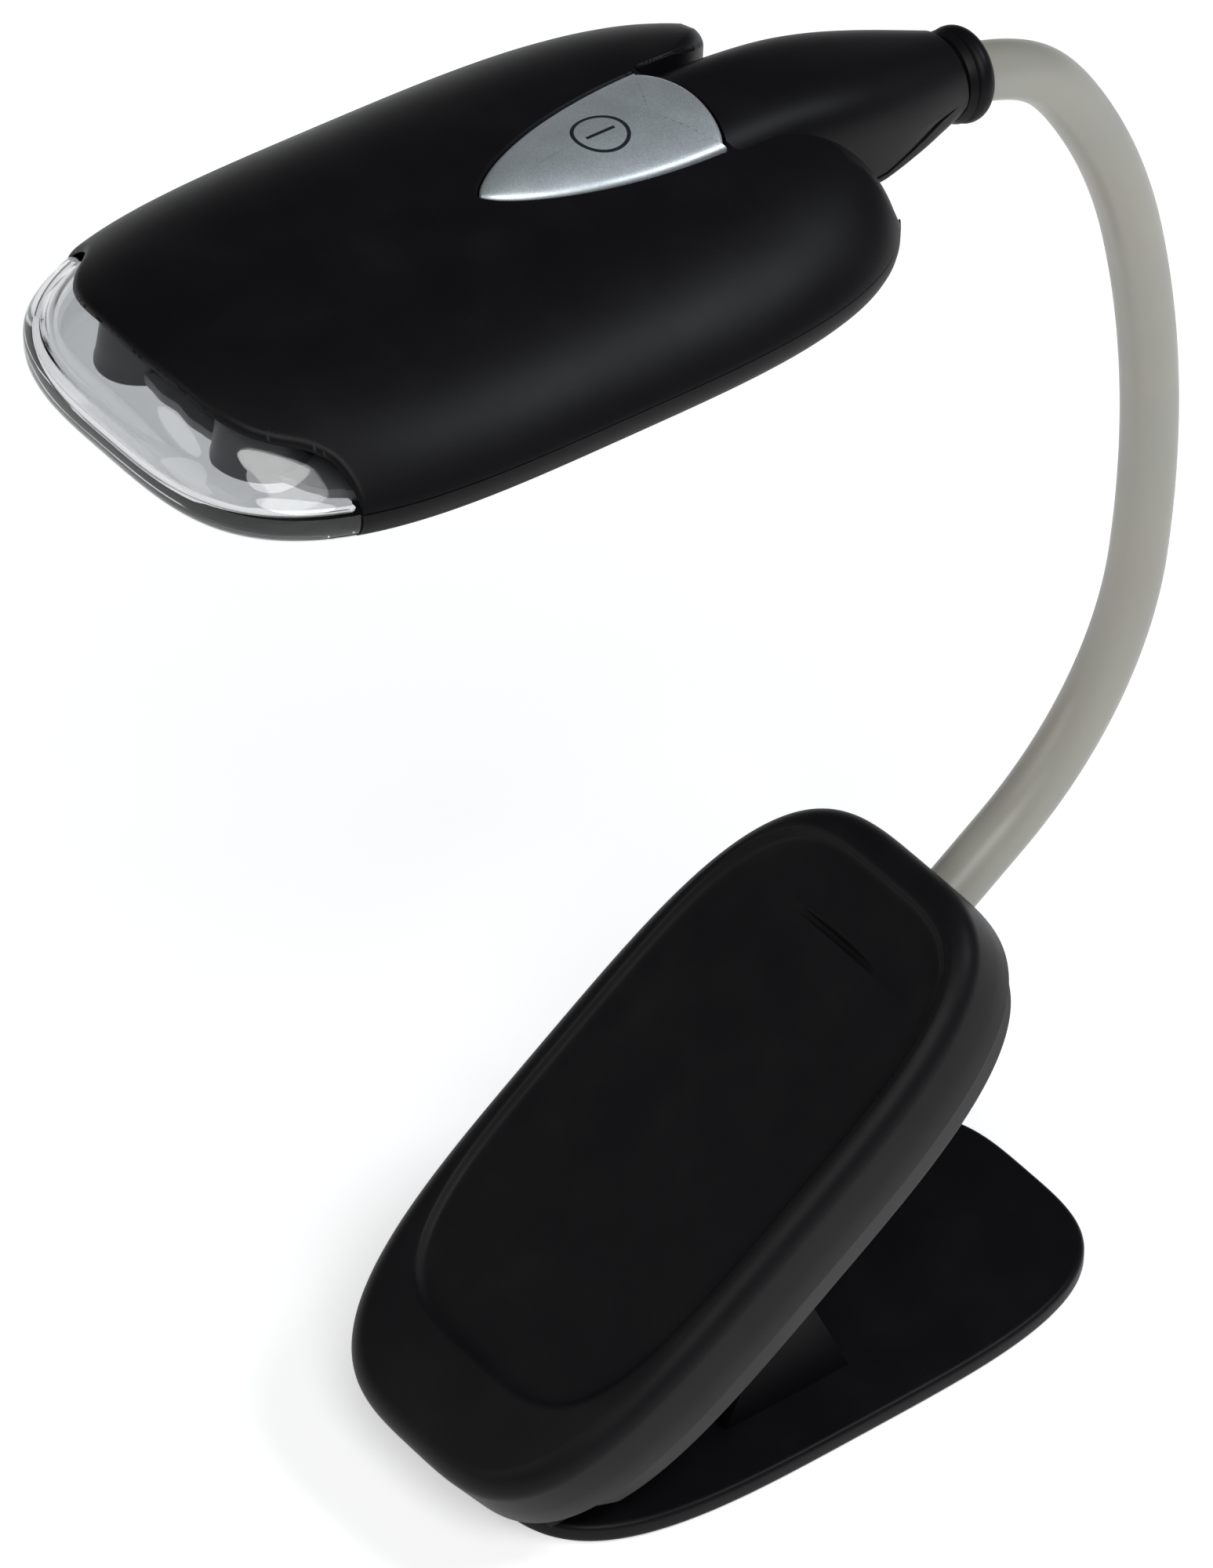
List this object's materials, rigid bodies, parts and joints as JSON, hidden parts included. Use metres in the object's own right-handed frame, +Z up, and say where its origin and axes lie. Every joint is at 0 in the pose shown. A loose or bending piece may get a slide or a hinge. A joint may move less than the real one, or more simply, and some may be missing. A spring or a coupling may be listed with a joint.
{
  "type": "clip-on reading lamp",
  "caption": "Battery reading lamp: a sprung soap-bar clip that holds the cells, a bendable gooseneck and a flat rounded LED head with a clear nose and a silver power button",
  "frame": {"origin": "middle of the flat underside of the clip plate, on the plane the lamp stands on", "axes": "+Z up, away from the surface it stands on; +X from the jaws to the squeeze end of the clip; +Y across the clip. The head points along -X."},
  "size_m": [0.1391, 0.0548, 0.179],
  "materials": {
    "black": "satin",
    "inner": "fine matt texture",
    "silver": "satin silver paint",
    "clear": "clear polished plastic",
    "tube": "semi-gloss",
    "rubber": "matt",
    "steel": "bright plated",
    "brass": "bright",
    "board": "green lacquer",
    "cell": "printed wrap, no lettering",
    "led": "clear",
    "mirror": "mirror plating on plastic",
    "wire": "satin"
  },
  "bodies": {
    "base": {"clip_plate": "black", "lower_jaw_pad": "rubber", "hinge_pin": "steel", "pin_cap": "steel", "torsion_spring": "steel"},
    "housing": {"battery_tray": "inner", "upper_jaw_pad": "rubber", "neck_screw": "steel", "neck_tube_1": "tube", "neck_core_1": "steel", "cell_1": "cell", "cell_2": "cell", "cell_3": "cell", "contact_plate_1": "brass", "contact_plate_2": "brass", "contact_plate_3": "brass", "contact_spring_1": "steel", "contact_spring_2": "steel", "contact_spring_3": "steel"},
    "cover": {"battery_cover": "black"},
    "neck_link_2": {"neck_tube_2": "tube", "neck_core_2": "steel"},
    "neck_link_3": {"neck_tube_3": "tube", "neck_core_3": "steel"},
    "neck_link_4": {"neck_tube_4": "tube", "neck_core_4": "steel"},
    "neck_link_5": {"neck_tube_5": "tube", "neck_core_5": "steel"},
    "neck_link_6": {"neck_tube_6": "tube", "neck_core_6": "steel"},
    "neck_link_7": {"neck_tube_7": "tube", "neck_core_7": "steel"},
    "head": {"head_top_shell": "black", "head_floor": "black", "front_lens": "clear", "neck_tube_8": "tube", "neck_core_8": "steel", "reflector_left": "mirror", "reflector_right": "mirror", "led_left": "led", "led_right": "led", "led_board": "board", "power_switch": "inner", "barrel_upper": "black", "barrel_lower": "black", "collar_ring": "black", "head_lead": "wire", "barrel_screw_1": "steel", "barrel_screw_2": "steel", "head_screw_1": "steel", "head_screw_2": "steel", "head_screw_3": "steel", "head_screw_4": "steel"},
    "button": {"power_button": "silver"}
  },
  "joints": [
    {"name": "clip_hinge", "type": "hinge", "parent": "base", "child": "housing", "pos_m": [-0.0049, 0, 0.0189], "axis": [0, 1, 0], "range_deg": [0, 28], "stiffness_Nm_per_rad": 0.25, "springref_deg": -45.84, "deforming": ["torsion_spring"]},
    {"name": "cover_lift", "type": "slide", "parent": "housing", "child": "cover", "axis": [-0.5847, 0, 0.8113], "range_m": [0, 0.012]},
    {"name": "neck_bend_1", "type": "hinge", "parent": "housing", "child": "neck_link_2", "pos_m": [0.03414, 0, 0.05667], "axis": [0, 1, 0], "range_deg": [-15, 15]},
    {"name": "neck_swing_2", "type": "hinge", "parent": "neck_link_2", "child": "neck_link_3", "pos_m": [0.04589, 0, 0.07013], "axis": [-0.872, 0, 0.4895], "range_deg": [-15, 15]},
    {"name": "neck_bend_3", "type": "hinge", "parent": "neck_link_3", "child": "neck_link_4", "pos_m": [0.05127, 0, 0.08718], "axis": [0, 1, 0], "range_deg": [-15, 15]},
    {"name": "neck_swing_4", "type": "hinge", "parent": "neck_link_4", "child": "neck_link_5", "pos_m": [0.05185, 0, 0.10515], "axis": [-0.9994, 0, -0.0354], "range_deg": [-15, 15]},
    {"name": "neck_bend_5", "type": "hinge", "parent": "neck_link_5", "child": "neck_link_6", "pos_m": [0.05, 0, 0.12304], "axis": [0, 1, 0], "range_deg": [-15, 15]},
    {"name": "neck_swing_6", "type": "hinge", "parent": "neck_link_6", "child": "neck_link_7", "pos_m": [0.04554, 0, 0.14046], "axis": [-0.9354, 0, -0.3536], "range_deg": [-15, 15]},
    {"name": "neck_bend_7", "type": "hinge", "parent": "neck_link_7", "child": "head", "pos_m": [0.03705, 0, 0.15626], "axis": [0, 1, 0], "range_deg": [-15, 15]},
    {"name": "button_press", "type": "slide", "parent": "head", "child": "button", "axis": [-0.0352, 0, -0.9994], "range_m": [0, 0.0008], "stiffness_N_per_m": 400, "springref_m": -0.0002}
  ],
  "couplings": [
    {"joint": "neck_bend_3", "follows": "neck_bend_1", "ratio": 1},
    {"joint": "neck_bend_5", "follows": "neck_bend_1", "ratio": 1},
    {"joint": "neck_bend_7", "follows": "neck_bend_1", "ratio": 1},
    {"joint": "neck_swing_4", "follows": "neck_swing_2", "ratio": 1},
    {"joint": "neck_swing_6", "follows": "neck_swing_2", "ratio": 1}
  ]
}
